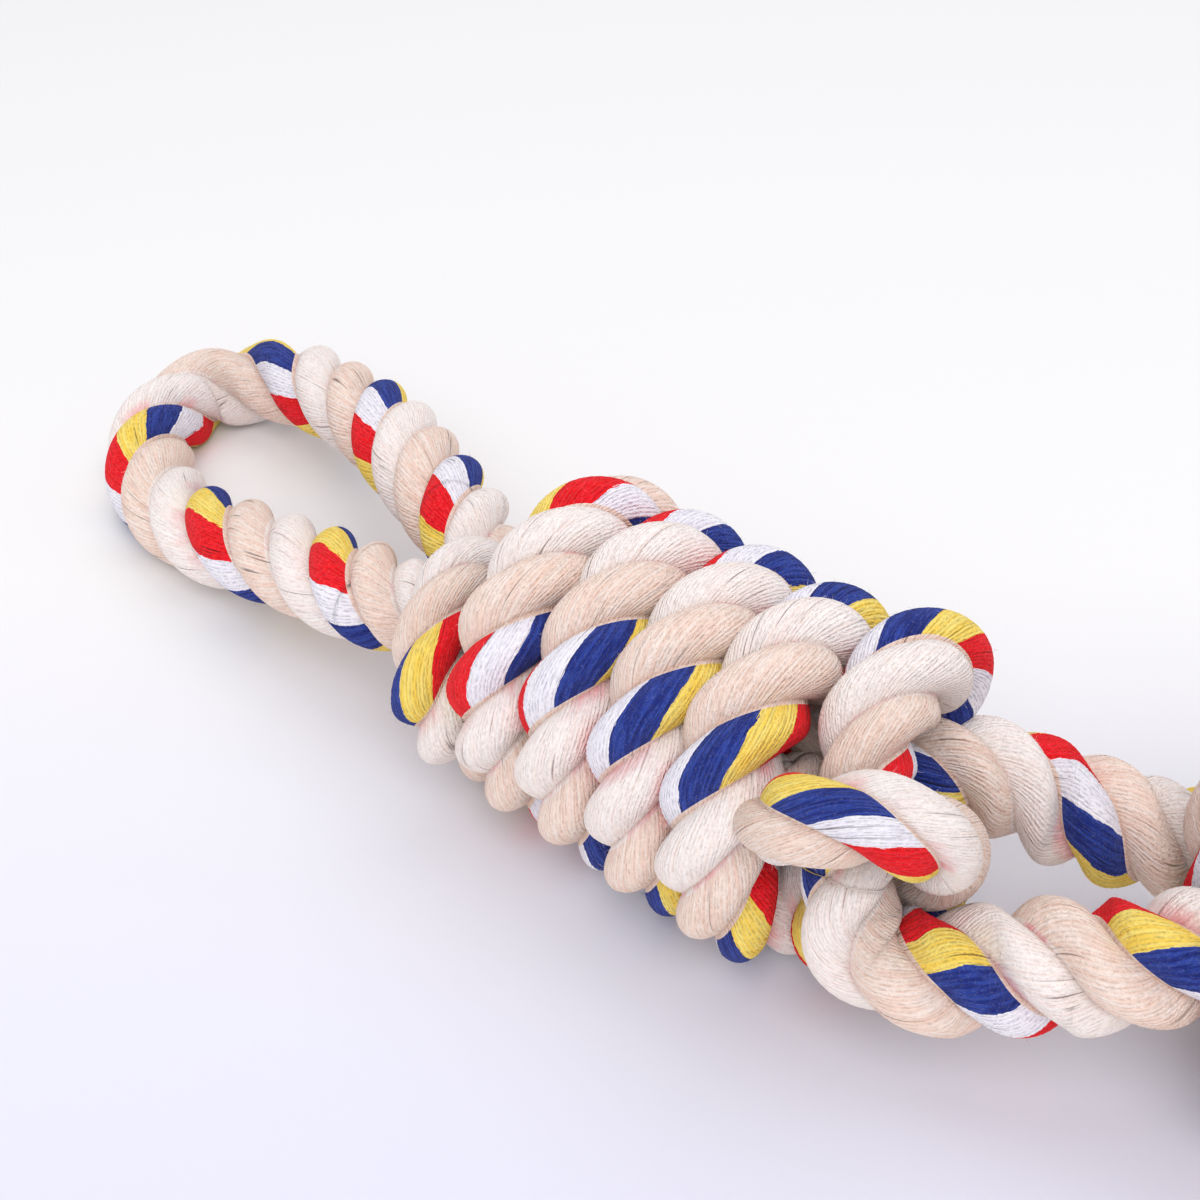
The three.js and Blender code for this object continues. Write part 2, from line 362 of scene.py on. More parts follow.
def at(values, place):
    """Values of the centre line at distances along it."""
    if values.ndim == 1:
        return np.interp(place, along, values)
    return np.stack([np.interp(place, along, column) for column in values.T], axis=-1)


start_side = unit(at(side, np.array(rope_start))) * HALF_TURN
end_side = unit(at(side, np.array(rope_end)))
end_up = np.cross(unit(at(tangent, np.array(rope_end))), end_side)
closing_turn = math.atan2(start_side @ end_up, start_side @ end_side) / math.tau
print("the route turns its own directions by", round(360 * closing_turn, 1), "degrees")

# %% Turns of the lay and stripes along the rope
SMOOTHING = 0.02
LAY_STEP = 0.0005


def tally(column, first, closing):
    """Counts along the whole rope, first the left half, then the right one. Returns a function of place and
    half. The last bit that closes the endless rope is spread over all of it."""
    length = rope_end - rope_start
    places, counts = [0], [first]
    for half in (0, 1):
        for name, _, *lay in [run[:4] for run in RUNS]:
            shares = RIGHT_LAY.get(name, lay)[column] if half else lay[column]
            start, end = run_ends[name]
            for share, count in enumerate(shares, 1):
                places.append(start + (end - start) * share / len(shares) - rope_start + half * length)
                counts.append(counts[-1] + count)
    places, counts = np.array(places), np.array(counts)
    total = counts[-1] - counts[0] - 2 * closing
    spare = round(total) - total
    counts = counts + spare * places / (2 * length)
    total = counts[-1] - counts[0]
    grid = np.arange(-SMOOTHING, 2 * length + SMOOTHING, LAY_STEP)
    lap = np.floor(grid / (2 * length))
    even = np.interp(grid - lap * 2 * length, places, counts) + lap * total
    window = np.ones(int(SMOOTHING / LAY_STEP))
    smooth = np.convolve(even, window / window.sum(), mode="same")
    print("turns in the rope:", round(total, 2), "of which added to close:", round(spare, 2))
    return lambda place, half=0: np.interp(place - rope_start + half * length, grid, smooth) - half * closing


def fullness_at(place):
    """How far the strands swell past the solid, going evenly from the middle of one share to the next."""
    places, values = [], []
    for run in RUNS:
        start, end = run_ends[run[0]]
        for share, value in enumerate(run[4]):
            places.append(start + (end - start) * (share + 0.5) / len(run[4]))
            values.append(value)
    return np.interp(place, places, values)


turns_at = tally(0, FIRST_TURN, closing_turn)
stripes_at = tally(1, FIRST_STRIPE, 0)
lay_lengths = {n: round(1000 * (b - a) / (turns_at(b) - turns_at(a))) for n, (a, b) in run_ends.items()}
print("length of one turn, in mm:", lay_lengths)

# %% [markdown]
# Nodes are wired as Python expressions, for the rope's shape and for its finishes alike.
# A wire is a socket that can be added, multiplied and so on, and each of those adds a Math node.
# Every other node comes from one method, which sets the node's own settings before its sockets.


# %% Wires
class Wire:
    """A socket of a node tree, for use in expressions. Without a socket it only starts others."""

    def __init__(self, tree, socket=None):
        self.tree = tree
        self.socket = socket

    def node(self, kind, settings=None, inputs=None, output=0):
        """A new node, with its settings, then the values or wires of its sockets. Returns an output."""
        node = self.tree.nodes.new(kind)
        for key, value in (settings or {}).items():
            if key == "stops":
                set_stops(node.color_ramp, value)
            else:
                setattr(node, key, value)
        for key, value in (inputs or {}).items():
            if isinstance(value, Wire):
                self.tree.links.new(value.socket, node.inputs[key])
            else:
                node.inputs[key].default_value = value
        return Wire(self.tree, node.outputs[output]) if node.outputs else None

    def math(self, operation, *others):
        values = dict(enumerate((self, *others)))
        return self.node("ShaderNodeMath", {"operation": operation}, values)

    def __add__(self, other):
        return self.math("ADD", other)

    def __radd__(self, other):
        return self.math("ADD", other)

    def __sub__(self, other):
        return self.math("SUBTRACT", other)

    def __rsub__(self, other):
        return self.math("MULTIPLY_ADD", -1.0, other)

    def __mul__(self, other):
        return self.math("MULTIPLY", other)

    def __rmul__(self, other):
        return self.math("MULTIPLY", other)

    def __neg__(self):
        return self.math("MULTIPLY", -1.0)


def set_stops(ramp, stops):
    while len(ramp.elements) < len(stops):
        ramp.elements.new(1)
    for element, (place, colour) in zip(ramp.elements, stops):
        element.position = place
        element.color = colour


print("wires are ready")

# %% [markdown]
# The finishes. Cotton yarn is matt and a little fluffy. A strand is a bundle of yarns that lie almost
# along the rope, so its surface shows fine lines that way, with painted shade in the gaps between some of
# them.
# Each vertex of the rope knows its place: across, the count of stripes that have come round, and along,
# the distance from the start. Both come from a map called Lay, so the lines follow the rope through
# every bend. A second map, Strand, says how far a place is from the crown of its strand.

# %% Colour helpers
YARNS_PER_ROUND = 38
# Each noise by its bumps for a yarn across, its bumps for a metre along, and its detail.
WANDER_NOISE = (0.3, 40, 2)
PLY_NOISE = (1.1, 850, 1)
FLUFF_NOISE = (3.2, 2400, 2)
HOLLOW_SHADE_NOISE = (1.0, 140, 1)
CRACK_SHADE_NOISE = (1.3, 55, 0)
STAIN_NOISE = (0.06, 45, 2)
RAGGED_NOISE = (1.0, 260, 2)


def srgb(red, green, blue):
    """A colour as it is seen on a screen, 0 to 255, in the linear values that shaders use."""
    channels = [value / 255 for value in (red, green, blue)]
    linear = [c / 12.92 if c <= 0.04045 else ((c + 0.055) / 1.055) ** 2.4 for c in channels]
    return (*linear, 1)


def blended(factor, under, over, mode="MIX"):
    """Colour over laid on colour under, by a factor from 0 to 1."""
    settings = {"data_type": "RGBA", "blend_type": mode, "clamp_factor": True}
    return factor.node("ShaderNodeMix", settings, {0: factor, 6: under, 7: over}, 2)


def stretched_noise(lay, per_yarn, per_metre, detail):
    """Noise drawn out along the yarns: so many bumps for each yarn across, and for each metre along."""
    across, length = lay
    vector = across.node(
        "ShaderNodeCombineXYZ", None, {0: across * (YARNS_PER_ROUND * per_yarn), 1: length * per_metre}
    )
    inputs = {"Vector": vector, "Scale": 1.0, "Detail": detail, "Roughness": 0.6}
    return across.node("ShaderNodeTexNoise", {"noise_dimensions": "2D"}, inputs)


def between(value, low, high):
    """0 below low, 1 above high and an even rise between them."""
    inputs = {"Value": value, "From Min": low, "From Max": high}
    return value.node("ShaderNodeMapRange", {"clamp": True}, inputs)


print("a screen grey of 188 in linear values:", round(srgb(188, 188, 188)[0], 2))


# %% The yarns of a strand
FLUFF = srgb(255, 246, 240)
CRACK_SHADE = srgb(84, 62, 58)
GROOVE_SHADE = srgb(206, 172, 150)
HOLLOW_SHADE_DEPTH = 0.6
CRACK_SHADE_DEPTH = 0.7
GROOVE_SHADE_DEPTH = 0.3
GROOVE_SHADE_FROM = 0.88
# How many yarns the lines wander sideways, and how high the yarns, their plies and their fluff stand.
YARN_WANDER = 1.8
YARN_HEIGHT, PLY_HEIGHT, FLUFF_HEIGHT = 0.3, 1.5, 1.2
BUMP_STRENGTH = 0.8
BUMP_DISTANCE = 0.0006


def cotton(name, plain_colour, gap_shade, gap_shade_depth, fleck_depth, sheen):
    """A cotton finish. plain_colour gives the colour of clean yarn, from the map's wires and a slow noise.
    Painted shade darkens the gaps between the yarns by a colour, and also hollows, cracks and the edges by
    the grooves. Loose fibres lie over the gaps as pale flecks, and the fuzz gives a soft sheen."""
    material = bpy.data.materials.new(name)
    material.use_nodes = True
    tree = material.node_tree
    tree.nodes.clear()
    bench = Wire(tree)
    on_lay = bench.node("ShaderNodeUVMap", {"uv_map": "Lay"})
    on_strand = bench.node("ShaderNodeUVMap", {"uv_map": "Strand"})
    lay = [bench.node("ShaderNodeSeparateXYZ", None, {0: on_lay}, axis) for axis in (0, 1)]
    crown = bench.node("ShaderNodeSeparateXYZ", None, {0: on_strand})

    wander = stretched_noise(lay, *WANDER_NOISE)
    plies = stretched_noise(lay, *PLY_NOISE)
    fluff = stretched_noise(lay, *FLUFF_NOISE)
    ridges = ((lay[0] * YARNS_PER_ROUND + wander * YARN_WANDER) * math.tau).math("SINE")

    colour = plain_colour(lay, wander, crown)
    # Painted shade: hollows placed by a noise get a deeper colour, as if light met the dye there more than
    # once.
    shaded_hollows = between(stretched_noise(lay, *HOLLOW_SHADE_NOISE), 0.6, 0.4)
    colour = blended(shaded_hollows * HOLLOW_SHADE_DEPTH, colour, colour, "MULTIPLY")
    # Painted shade: the gaps between the yarns are darkened by a colour.
    shaded_gaps = between(-ridges, 0.0, 1.0) * between(plies, 0.66, 0.34)
    colour = blended(shaded_gaps * gap_shade_depth, colour, gap_shade, "MULTIPLY")
    flecks = between(fluff, 0.52, 0.72) * between(plies, 0.4, 0.6)
    colour = blended(flecks * fleck_depth, colour, FLUFF)
    # Painted shade: thin cracks between the yarns are darkened to a dark brown.
    shaded_cracks = between(stretched_noise(lay, *CRACK_SHADE_NOISE), 0.24, 0.17) * between(wander, 0.5, 0.6)
    colour = blended(shaded_cracks * CRACK_SHADE_DEPTH, colour, CRACK_SHADE, "MULTIPLY")
    # Painted shade: the edges of each strand next to the grooves are darkened to a warm brown.
    groove = between(crown.math("ABSOLUTE"), GROOVE_SHADE_FROM, 1.0)
    colour = blended(groove * GROOVE_SHADE_DEPTH, colour, GROOVE_SHADE, "MULTIPLY")

    height = ridges * YARN_HEIGHT + plies * PLY_HEIGHT + fluff * FLUFF_HEIGHT
    bump = bench.node(
        "ShaderNodeBump",
        None,
        {"Strength": BUMP_STRENGTH, "Distance": BUMP_DISTANCE, "Height": height},
    )
    surface = bench.node(
        "ShaderNodeBsdfPrincipled",
        None,
        {"Base Color": colour, "Roughness": 0.95, "Specular IOR Level": 0.1, "Sheen Weight": sheen,
         "Sheen Roughness": 0.6, "Normal": bump},
    )
    bench.node("ShaderNodeOutputMaterial", None, {"Surface": surface})
    return material


# %% Three finishes
WHITE_COTTON = srgb(255, 249, 246)
WHITE_SHADE = srgb(254, 244, 240)
BEIGE_COTTON = srgb(252, 235, 225)
BEIGE_SHADE = srgb(247, 226, 214)
YELLOW = srgb(255, 231, 124)
NAVY = srgb(46, 69, 158)
COOL_WHITE = srgb(250, 248, 255)
RED = srgb(245, 20, 38)
BLED_DYE = srgb(246, 150, 160)
BLED_DEPTH = 0.7
STRIPE_WANDER = 0.035
STRIPES = [(0, YELLOW), (0.24, NAVY), (0.5, COOL_WHITE), (0.74, RED)]


def white_yarn(lay, wander, crown):
    clean = blended(between(wander, 0.3, 0.7), WHITE_COTTON, WHITE_SHADE)
    beside_red = between(crown, 0.55, 1.0) * between(stretched_noise(lay, *STAIN_NOISE), 0.5, 0.7)
    return blended(beside_red * BLED_DEPTH, clean, BLED_DYE)


def beige_yarn(lay, wander, crown):
    return blended(between(wander, 0.3, 0.7), BEIGE_COTTON, BEIGE_SHADE)


def striped_yarn(lay, wander, crown):
    ragged = stretched_noise(lay, *RAGGED_NOISE) - 0.5
    stripes = (lay[0] + (wander - 0.5) * STRIPE_WANDER + ragged * STRIPE_WANDER).math("FRACT")
    return stripes.node("ShaderNodeValToRGB", {"stops": STRIPES}, {0: stripes})


white_cotton = cotton(
    "white_cotton", white_yarn, gap_shade=srgb(216, 196, 186), gap_shade_depth=0.4, fleck_depth=0.3, sheen=0.15
)
beige_cotton = cotton(
    "beige_cotton", beige_yarn, gap_shade=srgb(206, 180, 164), gap_shade_depth=0.45, fleck_depth=0.3, sheen=0.15
)
striped_cotton = cotton(
    "striped_cotton", striped_yarn, gap_shade=srgb(140, 134, 154), gap_shade_depth=0.45, fleck_depth=0.07, sheen=0.06
)
# The dyed yarns change from one colour to the next without a slope.
for node in striped_cotton.node_tree.nodes:
    if node.type == "VALTORGB":
        node.color_ramp.interpolation = "CONSTANT"
finishes = [striped_cotton, beige_cotton, white_cotton]
print("finishes:", [material.name for material in finishes])

# %% [markdown]
# The shape of a laid rope follows a rule, so Geometry Nodes lay it. Python only makes a skeleton: a sleeve
# whose rings are all shrunk to the centre line, and whose vertices know where on a strand they belong.
# Seen across, a strand is a circle that stands off the centre, and the visible part of it ends in the
# groove to the next strand. In the barrel each turn is pressed flat by its neighbours, and the toy lies
# on the floor. Short stray fibres are strewn over the strands that show.

# %% Geometry Nodes that lay the strands
STRAND_STAND_OFF = 0.43
STRAND_SIZE = 0.59
PRESS_SOFTNESS = 0.0012
FLOOR_SOFTNESS = 0.0008
FUZZ_SEED = 7


def new_tree(name, sizes):
    """A geometry tree with a geometry input, an input for each size, and a geometry output."""
    tree = bpy.data.node_groups.new(name, "GeometryNodeTree")
    tree.interface.new_socket("Geometry", in_out="INPUT", socket_type="NodeSocketGeometry")
    for title, kind in sizes:
        tree.interface.new_socket(title, in_out="INPUT", socket_type=kind)
    tree.interface.new_socket("Geometry", in_out="OUTPUT", socket_type="NodeSocketGeometry")
    source = tree.nodes.new("NodeGroupInput")
    return Wire(tree), {socket.name: Wire(tree, socket) for socket in source.outputs if socket.name}


def told(bench, name, kind="FLOAT"):
    """What the skeleton's vertices know under a name."""
    return bench.node("GeometryNodeInputNamedAttribute", {"data_type": kind}, {"Name": name})


def vector_sum(bench, *terms):
    total = terms[0]
    for term in terms[1:]:
        total = bench.node("ShaderNodeVectorMath", {"operation": "ADD"}, {0: total, 1: term})
    return total


def scaled(vector, factor):
    return vector.node("ShaderNodeVectorMath", {"operation": "SCALE"}, {0: vector, "Scale": factor})


def position_parts(bench, place=None):
    """The three numbers of a place, or of where the vertices are."""
    place = place or bench.node("GeometryNodeInputPosition")
    return [bench.node("ShaderNodeSeparateXYZ", None, {0: place}, axis) for axis in range(3)]


def strand_positions(bench, sizes):
    """Where the vertices go: round their strand, round the rope, and clear of neighbours and floor."""
    round_strand = told(bench, "round_strand")
    turn = told(bench, "turn")
    radius = sizes["Strand size"] * told(bench, "plumpness")
    off_centre = sizes["Stand off"] + radius * round_strand.math("COSINE")
    sideways = radius * round_strand.math("SINE")
    cosine, sine = turn.math("COSINE"), turn.math("SINE")
    out = (off_centre * cosine - sideways * sine) * told(bench, "half_depth")
    across = (off_centre * sine + sideways * cosine) * told(bench, "half_width")
    across = across.math("SMOOTH_MIN", told(bench, "room_after"), sizes["Press softness"])
    across = across.math("SMOOTH_MAX", told(bench, "room_before"), sizes["Press softness"])
    laid = vector_sum(
        bench,
        bench.node("GeometryNodeInputPosition"),
        scaled(told(bench, "outward", "FLOAT_VECTOR"), out),
        scaled(told(bench, "across", "FLOAT_VECTOR"), across),
    )
    x, y, z = position_parts(bench, laid)
    z = z.math("SMOOTH_MAX", 0.0, sizes["Floor softness"])
    return bench.node("ShaderNodeCombineXYZ", None, {0: x, 1: y, 2: z})


# %% Geometry Nodes that add stray fibres
FIBRE_ROOT_RADIUS = 0.000016
FIBRE_TIP_RADIUS = 0.000006
# A fibre bends sideways with the square of its height. It leans at random, and its size varies.
FIBRE_BEND = 280.0
FIBRE_LEAN = 1.1
FIBRE_SIZES = (0.4, 1.6)


def stray_fibres(bench, rope, sizes):
    """Short bent hairs that stand off the strands, at random places and angles."""
    points = bench.node(
        "GeometryNodeDistributePointsOnFaces",
        {"distribute_method": "RANDOM"},
        {"Mesh": rope, "Density": sizes["Fibres per square metre"], "Seed": sizes["Seed"]},
    )
    rotation = Wire(points.tree, points.socket.node.outputs["Rotation"])
    hair = bench.node(
        "GeometryNodeMeshCone",
        {"fill_type": "NONE"},
        {"Vertices": 3, "Side Segments": 2, "Radius Top": FIBRE_TIP_RADIUS,
         "Radius Bottom": FIBRE_ROOT_RADIUS, "Depth": sizes["Fibre length"]},
    )
    x, y, z = position_parts(bench)
    bent = bench.node("ShaderNodeCombineXYZ", None, {0: x + z * z * FIBRE_BEND, 1: y, 2: z})
    hair = bench.node("GeometryNodeSetPosition", None, {"Geometry": hair, "Position": bent})
    hair = bench.node("GeometryNodeReplaceMaterial", None, {"Geometry": hair, "New": finishes[0]})
    lean = bench.node(
        "FunctionNodeRandomValue",
        {"data_type": "FLOAT_VECTOR"},
        {0: (-FIBRE_LEAN, -FIBRE_LEAN, 0.0), 1: (FIBRE_LEAN, FIBRE_LEAN, math.tau), "Seed": sizes["Seed"]},
    )
    rotation = bench.node(
        "FunctionNodeRotateRotation", {"rotation_space": "LOCAL"}, {"Rotation": rotation, "Rotate By": lean}
    )
    smallest, largest = FIBRE_SIZES
    size = bench.node(
        "FunctionNodeRandomValue",
        {"data_type": "FLOAT"},
        {2: smallest, 3: largest, "Seed": sizes["Seed"]},
        1,
    )
    hairs = bench.node(
        "GeometryNodeInstanceOnPoints",
        None,
        {"Points": points, "Instance": hair, "Rotation": rotation, "Scale": size},
    )
    return bench.node("GeometryNodeRealizeInstances", None, {"Geometry": hairs})


# %% The whole tree
bench, sizes = new_tree(
    "laid_rope",
    [
        ("Stand off", "NodeSocketFloat"),
        ("Strand size", "NodeSocketFloat"),
        ("Press softness", "NodeSocketFloat"),
        ("Floor softness", "NodeSocketFloat"),
        ("Fibres per square metre", "NodeSocketFloat"),
        ("Fibre length", "NodeSocketFloat"),
        ("Seed", "NodeSocketInt"),
    ],
)
rope = bench.node(
    "GeometryNodeSetPosition",
    None,
    {"Geometry": sizes["Geometry"], "Position": strand_positions(bench, sizes)},
)
fibres = stray_fibres(bench, rope, sizes)
join = bench.tree.nodes.new("GeometryNodeJoinGeometry")
for part in (fibres, rope):
    bench.tree.links.new(part.socket, join.inputs[0])
x, y, z = position_parts(bench)
above_floor = bench.node("ShaderNodeCombineXYZ", None, {0: x, 1: y, 2: z.math("MAXIMUM", 0.0)})
joined = Wire(bench.tree, join.outputs[0])
dressed = bench.node("GeometryNodeSetPosition", None, {"Geometry": joined, "Position": above_floor})
for strand, material in enumerate(finishes):
    chosen = bench.node(
        "FunctionNodeCompare",
        {"data_type": "INT", "operation": "EQUAL"},
        {"A": told(bench, "strand", "INT"), "B": strand},
    )
    dressed = bench.node(
        "GeometryNodeSetMaterial", None, {"Geometry": dressed, "Selection": chosen, "Material": material}
    )
bench.node("NodeGroupOutput", None, {"Geometry": dressed})
rope_tree = bench.tree
print("rope tree:", len(rope_tree.nodes), "nodes")

# %% [markdown]
# The skeleton of a run. Its rings lie about a millimetre apart, or three where the barrel hides them, and
# each ring has the same number of points on each of the three strands. The maps Lay and Strand are stored
# on the corners of the faces, because at a groove two strands share a vertex but not a place on the yarn.

# %% Shape of the skeleton
RING_STEP = 0.0012
HIDDEN_RING_STEP = 0.003
POINTS_PER_STRAND = 18
ANGLE_STEPS = 20000
STRANDS = ("striped", "beige", "white")
STRIPE_ROUNDS = 2.2
# The yarn's noise starts elsewhere on each strand, so that no two strands look alike.
STRAND_SHIFT = 5.37
ROPE_WOBBLE = 0.02
PLUMP_WOBBLE = 0.05
# The wobble is a sum of swings, each so many times as fast as the first. Their sizes add up to about 4.
WOBBLE_RATE = 41
WOBBLE_PARTS = (1, 1.7, 2.9)
WOBBLE_SHIFT = 2.1
WOBBLE_SUM = 4
WRAP_WIDTH_FULLNESS = 1.16
WRAP_DEPTH_FULLNESS = 1.02
OPEN_SPACE = 0.018
OVERLAP = 0.0006
# The wraps are pushed along the barrel. The push starts a little before the first wrap is in front, grows
# towards its full size within a few turns, and behind the last wrap it is given back in part of a turn.
WRAP_SPREAD = 0.007
SPREAD_TURNS = 2.0
PUSH_LEAD = 0.25
GIVE_BACK = 0.3
# A turn has a neighbour from just under a full turn on, and is fully wound a quarter turn from an end.
NEIGHBOUR_FROM = 0.9
NEIGHBOUR_EASE = 0.2
WOUND_EASE = 0.25


def groove_angle():
    """The angle round a strand at which it meets the next one, a third of a turn round the rope."""
    angles = np.linspace(0, math.pi, ANGLE_STEPS)
    polar = np.arctan2(STRAND_SIZE * np.sin(angles), STRAND_STAND_OFF + STRAND_SIZE * np.cos(angles))
    return angles[np.argmax(polar >= math.pi / len(STRANDS))]


def wobble(place, seed):
    """A slow uneven swing between about -1 and 1 along the rope."""
    swing = 0
    for part in WOBBLE_PARTS:
        swing = swing + math.sqrt(part) * np.sin(place * WOBBLE_RATE * part + seed * (WOBBLE_SHIFT + part))
    return swing / WOBBLE_SUM


edge = groove_angle()
print("a strand is seen over", round(2 * math.degrees(edge)), "degrees of its round")


# %% Rings of a run
def wrap_turn(place):
    """Turns round the barrel since the first wrap was in front."""
    return (place - run_ends["wraps"][1]) / math.hypot(math.tau * wrap_ring, wrap_pitch) + WRAP_TURNS


def push(turn):
    """How far a turn is pushed along the barrel by the turns before it."""
    return WRAP_SPREAD * (1 - np.exp(-np.maximum(turn + PUSH_LEAD, 0) / SPREAD_TURNS))


def spread(turn):
    """The push along the wraps. Behind the last one, the tuck goes back to its own place."""
    return push(turn) * np.clip((WRAP_TURNS + GIVE_BACK - turn) / GIVE_BACK, 0, 1)


def rings_of(name, half):
    """Distances along the rope, centres, directions and half sizes of the rings of a run."""
    start, end = run_ends[name]
    spacing = HIDDEN_RING_STEP if name.startswith("core") else RING_STEP
    place = np.linspace(start, end, int((end - start) / spacing) + 1)
    centre = at(line, place)
    forward = unit(at(tangent, place))
    outward = at(side, place)
    outward = unit(outward - forward * np.sum(outward * forward, axis=1, keepdims=True))
    turn = math.tau * turns_at(place, half)
    half_width = at(line_width, place) / 2
    half_depth = at(line_depth, place) / 2
    if name in ("wraps", "lock_tuck"):
        radial = centre * (0, 1, 1) - (0, -KNOT_SIDE, axis_height)
        radial = unit(radial - forward * np.sum(radial * forward, axis=1, keepdims=True))
        sideways = np.cross(forward, radial)
        turn = turn + np.arctan2(np.sum(outward * sideways, axis=1), np.sum(outward * radial, axis=1))
        outward = radial
        centre = centre + np.outer(spread(wrap_turn(place)), (1, 0, 0))
    swell = 1 + ROPE_WOBBLE * wobble(place, 1)
    return place, centre, outward, np.cross(forward, outward), turn, half_width * swell, half_depth * swell


def wrap_rooms(name, place):
    """How far the rope may spread to each side: in the barrel, half of the way to each neighbour."""
    turn = wrap_turn(place)
    inside = 1.0 if name == "wraps" else 0.0
    earlier = inside * np.clip((turn - NEIGHBOUR_FROM) / NEIGHBOUR_EASE, 0, 1)
    later = inside * np.clip((WRAP_TURNS - NEIGHBOUR_FROM - turn) / NEIGHBOUR_EASE, 0, 1)
    wound = inside * np.clip(np.minimum(turn, WRAP_TURNS - turn) / WOUND_EASE, 0, 1)
    to_earlier = wrap_pitch + push(turn) - push(turn - 1)
    to_later = wrap_pitch + push(turn + 1) - push(turn)
    room_after = OPEN_SPACE + (to_earlier / 2 + OVERLAP - OPEN_SPACE) * earlier
    room_before = OPEN_SPACE + (to_later / 2 + OVERLAP - OPEN_SPACE) * later
    full = fullness_at(place)
    wider = full + (WRAP_WIDTH_FULLNESS * to_later / wrap_pitch - full) * wound
    deeper = full + (WRAP_DEPTH_FULLNESS - full) * wound
    return room_after, -room_before, wider, deeper


print("rings of the loop:", len(rings_of("handle_loop", 0)[0]))


# %% Faces and maps of the skeleton
def sleeve_faces(rings, around):
    """Quads of the sleeve, then triangles that close its two ends on two more vertices."""
    corner = np.arange(around)
    following = (corner + 1) % around
    first = np.arange(rings - 1)[:, None] * around
    second = first + around
    quads = np.stack([first + corner, first + following, second + following, second + corner], axis=-1)
    end = (rings - 1) * around
    start_cap = np.stack([np.full(around, rings * around), following, corner], axis=-1)
    end_cap = np.stack([np.full(around, rings * around + 1), end + corner, end + following], axis=-1)
    return quads.reshape(-1, 4), np.vstack([start_cap, end_cap])


def lay_map(place, angles, half):
    """The maps Lay and Strand at the corners of the sleeve's faces, in the order of sleeve_faces."""
    strand = np.arange(len(STRANDS))[:, None]
    polar = np.arctan2(STRAND_SIZE * np.sin(angles), STRAND_STAND_OFF + STRAND_SIZE * np.cos(angles))
    left, right = np.arange(POINTS_PER_STRAND), np.arange(POINTS_PER_STRAND) + 1
    maps = []
    for ring_step, point in ((0, left), (0, right), (1, right), (1, left)):
        stripe = stripes_at(place, half)[:, None, None] + STRIPE_ROUNDS * polar[point] / math.tau
        stripe = stripe + strand * STRAND_SHIFT
        far = np.broadcast_to(place[:, None, None], stripe.shape)
        crown = np.broadcast_to(angles[point] / edge, stripe.shape)
        ring = slice(ring_step, len(place) - 1 + ring_step)
        maps.append(np.stack([stripe, far, crown, far], axis=-1)[ring].reshape(-1, 4))
    quads = np.stack(maps, axis=1).reshape(-1, 4)
    caps = np.zeros((2 * 3 * len(STRANDS) * POINTS_PER_STRAND, 4))
    both = np.vstack([quads, caps])
    return both[:, :2], both[:, 2:]


print("faces in a ring:", len(STRANDS) * POINTS_PER_STRAND)


# %% The skeleton as a mesh
def remember(mesh, name, kind, domain, values):
    """Stores values on a mesh under a name."""
    attribute = mesh.attributes.new(name, kind, domain)
    field = "vector" if kind == "FLOAT_VECTOR" else "value"
    attribute.data.foreach_set(field, np.ascontiguousarray(values).ravel())


def skeleton(name, half):
    """A sleeve for one run, shrunk to the centre line, whose vertices know their place on a strand."""
    place, centre, outward, across, turn, half_width, half_depth = rings_of(name, half)
    angles = np.linspace(-edge, edge, POINTS_PER_STRAND + 1)
    around = len(STRANDS) * POINTS_PER_STRAND
    strand_of = np.repeat(np.arange(len(STRANDS)), POINTS_PER_STRAND)
    round_strand = np.tile(angles[:-1], len(STRANDS))
    crown = np.cos(round_strand / edge * math.pi / 2) ** 2
    plump = 1 + PLUMP_WOBBLE * crown * np.stack([wobble(place, 3 + 2 * s) for s in strand_of], axis=1)
    room_after, room_before, wider, deeper = wrap_rooms(name, place)

    quads, caps = sleeve_faces(len(place), around)
    mesh = bpy.data.meshes.new(name)
    corners = np.vstack([np.repeat(centre, around, axis=0), centre[:1], centre[-1:]])
    mesh.from_pydata(corners.tolist(), [], quads.tolist() + caps.tolist())
    mesh.materials.append(finishes[0])

    def per_vertex(ring_values, cap_value=0.0):
        grid = np.broadcast_to(ring_values, (len(place), around)).ravel()
        return np.concatenate([grid, [cap_value, cap_value]])

    def per_ring(vectors):
        return np.vstack([np.repeat(vectors, around, axis=0), vectors[:1], vectors[-1:]])

    remember(mesh, "round_strand", "FLOAT", "POINT", per_vertex(round_strand))
    remember(mesh, "turn", "FLOAT", "POINT", per_vertex(turn[:, None] + strand_of * math.tau / len(STRANDS)))
    remember(mesh, "plumpness", "FLOAT", "POINT", per_vertex(plump))
    remember(mesh, "half_width", "FLOAT", "POINT", per_vertex((half_width * wider)[:, None]))
    remember(mesh, "half_depth", "FLOAT", "POINT", per_vertex((half_depth * deeper)[:, None]))
    remember(mesh, "room_after", "FLOAT", "POINT", per_vertex(room_after[:, None], OPEN_SPACE))
    remember(mesh, "room_before", "FLOAT", "POINT", per_vertex(room_before[:, None], -OPEN_SPACE))
    remember(mesh, "groove", "FLOAT", "POINT", per_vertex(np.arange(around) % POINTS_PER_STRAND == 0))
    remember(mesh, "outward", "FLOAT_VECTOR", "POINT", per_ring(outward))
    remember(mesh, "across", "FLOAT_VECTOR", "POINT", per_ring(across))
    face_strand = np.concatenate([np.tile(strand_of, len(place) - 1), strand_of, strand_of])
    remember(mesh, "strand", "INT", "FACE", face_strand)
    for title, values in zip(("Lay", "Strand"), lay_map(place, angles, half)):
        mesh.uv_layers.new(name=title).data.foreach_set("uv", values.ravel())
    return mesh


